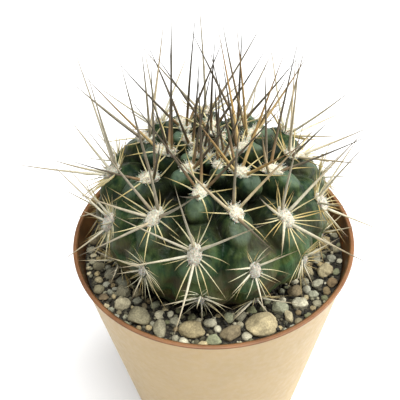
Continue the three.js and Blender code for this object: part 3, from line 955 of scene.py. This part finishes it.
def clears_ground(spine):
    for i in range(1, spine_checks + 1):
        t = 2 * i / spine_checks
        place = spine.base.lerp(spine.middle, t) if t < 1 else spine.middle.lerp(spine.tip, t - 1)
        foot = place.z - spine_clearance
        if foot < grit_top:
            return False
        if foot < pot_height and place.to_2d().length > inner_radius(place.z) - spine_clearance:
            return False
        for stone in stones:
            if foot < stone.top and (place - stone.place).to_2d().length < stone.spread + spine_clearance:
                return False
    return True


# The shortest distance between the stretches ab and cd.
def distance_between(a, b, c, d):
    u, v, w = b - a, d - c, a - c
    uu, uv, vv = u.dot(u), u.dot(v), v.dot(v)
    along_first = clamp((uv * v.dot(w) - vv * u.dot(w)) / max(1e-9, uu * vv - uv * uv))
    along_second = clamp((uv * along_first + v.dot(w)) / vv)
    along_first = clamp((uv * along_second - u.dot(w)) / uu)
    return (w + u * along_first - v * along_second).length


def clears_spines(spine):
    mine = [(spine.base, spine.middle), (spine.middle, spine.tip)]
    reach = (spine.base - spine.tip).length + spine.radius
    for other in spines:
        need = spine.radius + other.radius
        if (spine.base - other.base).length > reach + (other.base - other.tip).length + other.radius:
            continue
        theirs = [(other.base, other.middle), (other.middle, other.tip)]
        if any(distance_between(*first, *second) < need for first in mine for second in theirs):
            return False
    return True


# Each spine is swung a few degrees either way, and then raised, until it stands clear of all the others.
def grow_spine(areole, turn, lean, **size):
    for attempt in range(raise_count * len(swings)):
        lift, swing = divmod(attempt, len(swings))
        spine = spine_from(areole, turn + swings[swing], lean, raise_step * lift, **size)
        if clears_ground(spine) and clears_spines(spine):
            spines.append(spine)
            return


# How many centrals and radials an areole has: they grow in one after another.
def spine_counts_at(areole):
    if areole.n < budding_areole:
        return 1, 1
    if areole.n < crown_areole:
        return 2, 3
    return (4, 5) if areole.age < middle_age else (5, 7)


spines = []
for areole in areoles:
    draw = draws_from(spine_seed + draws_per_areole * areole.n)
    grown = mix(crown_share, 1, smoothstep(areole.n, first_short_bud, last_short_bud))
    grown *= mix(1, shaded_side_share, clamp(areole.direction.y))
    shortened = smoothstep(areole.n, first_short_areole, last_short_areole)
    areole.radial_share = grown * mix(1, short_radial_share, shortened)
    central_share = grown * mix(1, short_central_share, shortened)
    central_count, radial_count = spine_counts_at(areole)
    areole.stoutness = mix(1, old_stoutness, shortened)
    for turn, young_lean, old_lean, length in central_spines[:central_count]:
        turn += draw(-turn_range / 2, turn_range / 2)
        lean = mix(young_lean, old_lean, areole.age) + draw(-lean_range / 2, lean_range / 2)
        length *= central_share * draw(*length_range)
        radius = central_radius * areole.stoutness
        grow_spine(areole, turn, lean, length=length, radius=radius, ring=central_ring, bow=central_bow)
    for turn in radial_turns[:radial_count]:
        turn += draw(-turn_range / 2, turn_range / 2)
        lean = mix(young_radial_lean, old_radial_lean, areole.age) + draw(-lean_range / 2, lean_range / 2)
        length = areole.radial_share * draw(*radial_length)
        radius = radial_radius * areole.stoutness
        grow_spine(areole, turn, lean, length=length, radius=radius, ring=1, bow=0)

# Grown areoles fill in with finer radials, and those on the plant's left and right with more of them.
for areole in areoles:
    if areole.age < middle_age:
        continue
    draw = draws_from(extra_seed + draws_per_areole * areole.n)
    at_side = abs(areole.surface.x) > side_from
    for turn in extra_radial_turns + side_radial_turns * at_side:
        turn += draw(-turn_range, turn_range)
        lean = mix(young_radial_lean, old_radial_lean, areole.age) + draw(-lean_range, lean_range)
        length = areole.radial_share * draw(*extra_length)
        radius = extra_radius * areole.stoutness
        grow_spine(areole, turn, lean, length=length, radius=radius, ring=1, bow=0)

# Every spine bends a little, the thin ones more, and narrows to its tip. The further out to a side one grows,
# the more golden it tends to be; those to the right are painted more golden too, a painted glow from the
# right.
curve_seed = 80000
draws_per_spine = 10
curve_fall = (-1.2, 0.4)
stout_bend = 0.05
thin_bend = 0.27
stout_taper = 1.4
thin_taper = 2.2
tip_share = 0.04
middle_tint = 0.25
right_glow_for_tint = 80
outward_for_tint = 28
placed_tint_share = 0.5
needles = bmesh.new()
along_layer = needles.verts.layers.float.new("along")
age_layer = needles.verts.layers.float.new("age")
stout_layer = needles.verts.layers.float.new("stout")
tint_layer = needles.verts.layers.float.new("tint")
spine_form = needle_form(sides=6, base=1, tip=1, cuts=6)
for number, spine in enumerate(spines):
    draw = draws_from(curve_seed + draws_per_spine * number)
    stout = 1 if spine.bow else 0
    turn = spine.way.to_track_quat("Z", "Y")
    curve = Vector((draw(-1, 1), draw(-1, 1), draw(*curve_fall)))
    curve -= min(0, curve.dot(spine.areole.facing)) * spine.areole.facing
    sag = curve * spine.length * (stout_bend if stout else thin_bend)
    # Towards the right the tint is painted more golden: painted light.
    placed_tint_and_glow = middle_tint + spine.base.x / right_glow_for_tint + abs(spine.base.x) / outward_for_tint
    tint = mix(draw(0, 1), clamp(placed_tint_and_glow), placed_tint_share)
    start = spine.base - spine.way * spine_root_depth
    end = spine.base + spine.way * spine.length
    taper = stout_taper if stout else thin_taper
    for vert in add_copy(needles, spine_form):
        along = vert.co.z
        girth = spine.radius * max(tip_share, 1 - along ** taper)
        section = turn @ Vector((vert.co.x, vert.co.y, 0)) * girth
        bend = upward * spine.bow * spine.length * along ** 2 + sag * along ** 2
        vert.co = start.lerp(end, along) + bend + section
        vert[along_layer] = along
        vert[age_layer] = spine.areole.age
        vert[stout_layer] = stout
        vert[tint_layer] = tint

spine_finish = Finish("spine_horn", roughness=0.55, specular_ior_level=0.3)
tint_of_spine = spine_finish.attribute("tint")
tint_apart = spine_finish.math("SUBTRACT", tint_of_spine, 0.5)
along_share = spine_finish.math(
    "ADD", spine_finish.attribute("along"), spine_finish.math("MULTIPLY", tint_apart, 0.3)
)
dark_central = spine_finish.ramp(
    along_share, (0.0, seen("c4b183")), (0.08, seen("846a48")), (0.25, seen("544a39")), (1.0, seen("302d24"))
)
golden_central = spine_finish.ramp(
    along_share, (0.0, seen("cdb67f")), (0.4, seen("a3854f")), (0.75, seen("80643d")), (1.0, seen("4a3f35"))
)
is_golden = spine_finish.ramp(tint_of_spine, (0.58, grey(0)), (0.7, grey(1)))
new_central = spine_finish.mix(is_golden, dark_central, golden_central)
old_central = spine_finish.ramp(
    along_share, (0.0, seen("c6c4b0")), (0.45, seen("b5ad94")), (0.8, seen("94876b")), (1.0, seen("5f5342"))
)
is_straw = spine_finish.ramp(tint_of_spine, (0.45, grey(0)), (0.75, grey(1)))
new_radial = spine_finish.ramp(
    along_share, (0.0, seen("cfc79c")), (0.6, seen("ae9d65")), (1.0, seen("6f5f38"))
)
pale_radial = spine_finish.ramp(
    along_share, (0.0, seen("c6c5ad")), (0.6, seen("b1ab88")), (1.0, seen("857a54"))
)
straw_radial = spine_finish.ramp(
    along_share, (0.0, seen("c3b88b")), (0.5, seen("ab965c")), (1.0, seen("7d673a"))
)
old_radial = spine_finish.mix(is_straw, pale_radial, straw_radial)
age_looked = spine_finish.math(
    "ADD", spine_finish.attribute("age"), spine_finish.math("MULTIPLY", tint_apart, 0.35)
)
is_old = spine_finish.ramp(age_looked, (0.38, grey(0)), (0.68, grey(1)))
central_colour = spine_finish.mix(is_old, new_central, old_central)
radial_colour = spine_finish.mix(is_old, new_radial, old_radial)
spine_colour = spine_finish.mix(spine_finish.attribute("stout"), radial_colour, central_colour)
horn_streaks = spine_finish.ramp(spine_finish.noise(0.8, 3), (0.3, grey(0.8)), (0.7, grey(1.1)))
spine_finish.colour(spine_finish.mix(1, spine_colour, horn_streaks, "MULTIPLY"))
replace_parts(finish_piece("spines", needles, spine_finish.material), "cactus")

# Studio: a plain white card under the pot, lit a little from within, and faint white light from all round.
# One soft lamp hangs overhead and one stands on the right, and the camera is where the photograph was taken.
floor_half = 3
floor_glow = 0.42
all_round_light = 0.14
floor_shape = bmesh.new()
bmesh.ops.create_grid(floor_shape, x_segments=1, y_segments=1, size=floor_half)
floor_mesh = bpy.data.meshes.new("studio_floor")
floor_shape.to_mesh(floor_mesh)
floor_shape.free()
floor_finish = Finish("white_card", roughness=0.9)
floor_finish.shader.inputs["Base Color"].default_value = grey(0.6)
floor_finish.shader.inputs["Emission Color"].default_value = grey(1)
floor_finish.shader.inputs["Emission Strength"].default_value = floor_glow
floor_mesh.materials.append(floor_finish.material)
studio_floor = bpy.data.objects.new("studio_floor", floor_mesh)
bpy.context.scene.collection.objects.link(studio_floor)

studio = bpy.data.worlds.new("studio")
studio.use_nodes = True
studio.node_tree.nodes["Background"].inputs["Color"].default_value = grey(1)
studio.node_tree.nodes["Background"].inputs["Strength"].default_value = all_round_light
bpy.context.scene.world = studio
bpy.context.scene.view_settings.view_transform = "Standard"

rim_centre = Vector((0, 0, pot_height)) * millimetre


def add_soft_light(name, place, size, power):
    lamp = bpy.data.lights.new(name, "AREA")
    lamp.shape = "DISK"
    lamp.size = size
    lamp.energy = power
    light = bpy.data.objects.new(name, lamp)
    light.location = place
    light.rotation_mode = "QUATERNION"
    light.rotation_quaternion = (Vector(place) - rim_centre).to_track_quat("Z", "Y")
    bpy.context.scene.collection.objects.link(light)


add_soft_light("top_light", place=(0.05, -0.15, 0.8), size=0.5, power=10)
add_soft_light("right_light", place=(0.7, 0.05, 0.45), size=0.8, power=12)

camera_elevation = math.radians(45.6)
camera_roll = math.radians(-1.15)
camera_distance = 220
focal_pixels = 947
image_pixels = 400
rim_pixel = (213.2, 236.4)
sensor_width = 36
camera_data = bpy.data.cameras.new("camera")
camera_data.sensor_width = sensor_width
camera_data.lens = sensor_width * focal_pixels / image_pixels
camera_data.clip_start = 0.01
camera = bpy.data.objects.new("camera", camera_data)
back = Vector((0, -math.cos(camera_elevation), math.sin(camera_elevation)))
right = Vector((1, 0, 0))
level_view = Matrix((right, back.cross(right), back)).transposed()
middle_pixel = image_pixels / 2
to_rim = Vector((rim_pixel[0] - middle_pixel, middle_pixel - rim_pixel[1], -focal_pixels))
aim = to_rim.rotation_difference(Vector((0, 0, -1))).to_matrix()
camera_turn = level_view @ Matrix.Rotation(camera_roll, 3, "Z") @ aim
camera_place = rim_centre + back * camera_distance * millimetre
camera.matrix_world = Matrix.Translation(camera_place) @ camera_turn.to_4x4()
bpy.context.scene.collection.objects.link(camera)
bpy.context.scene.camera = camera
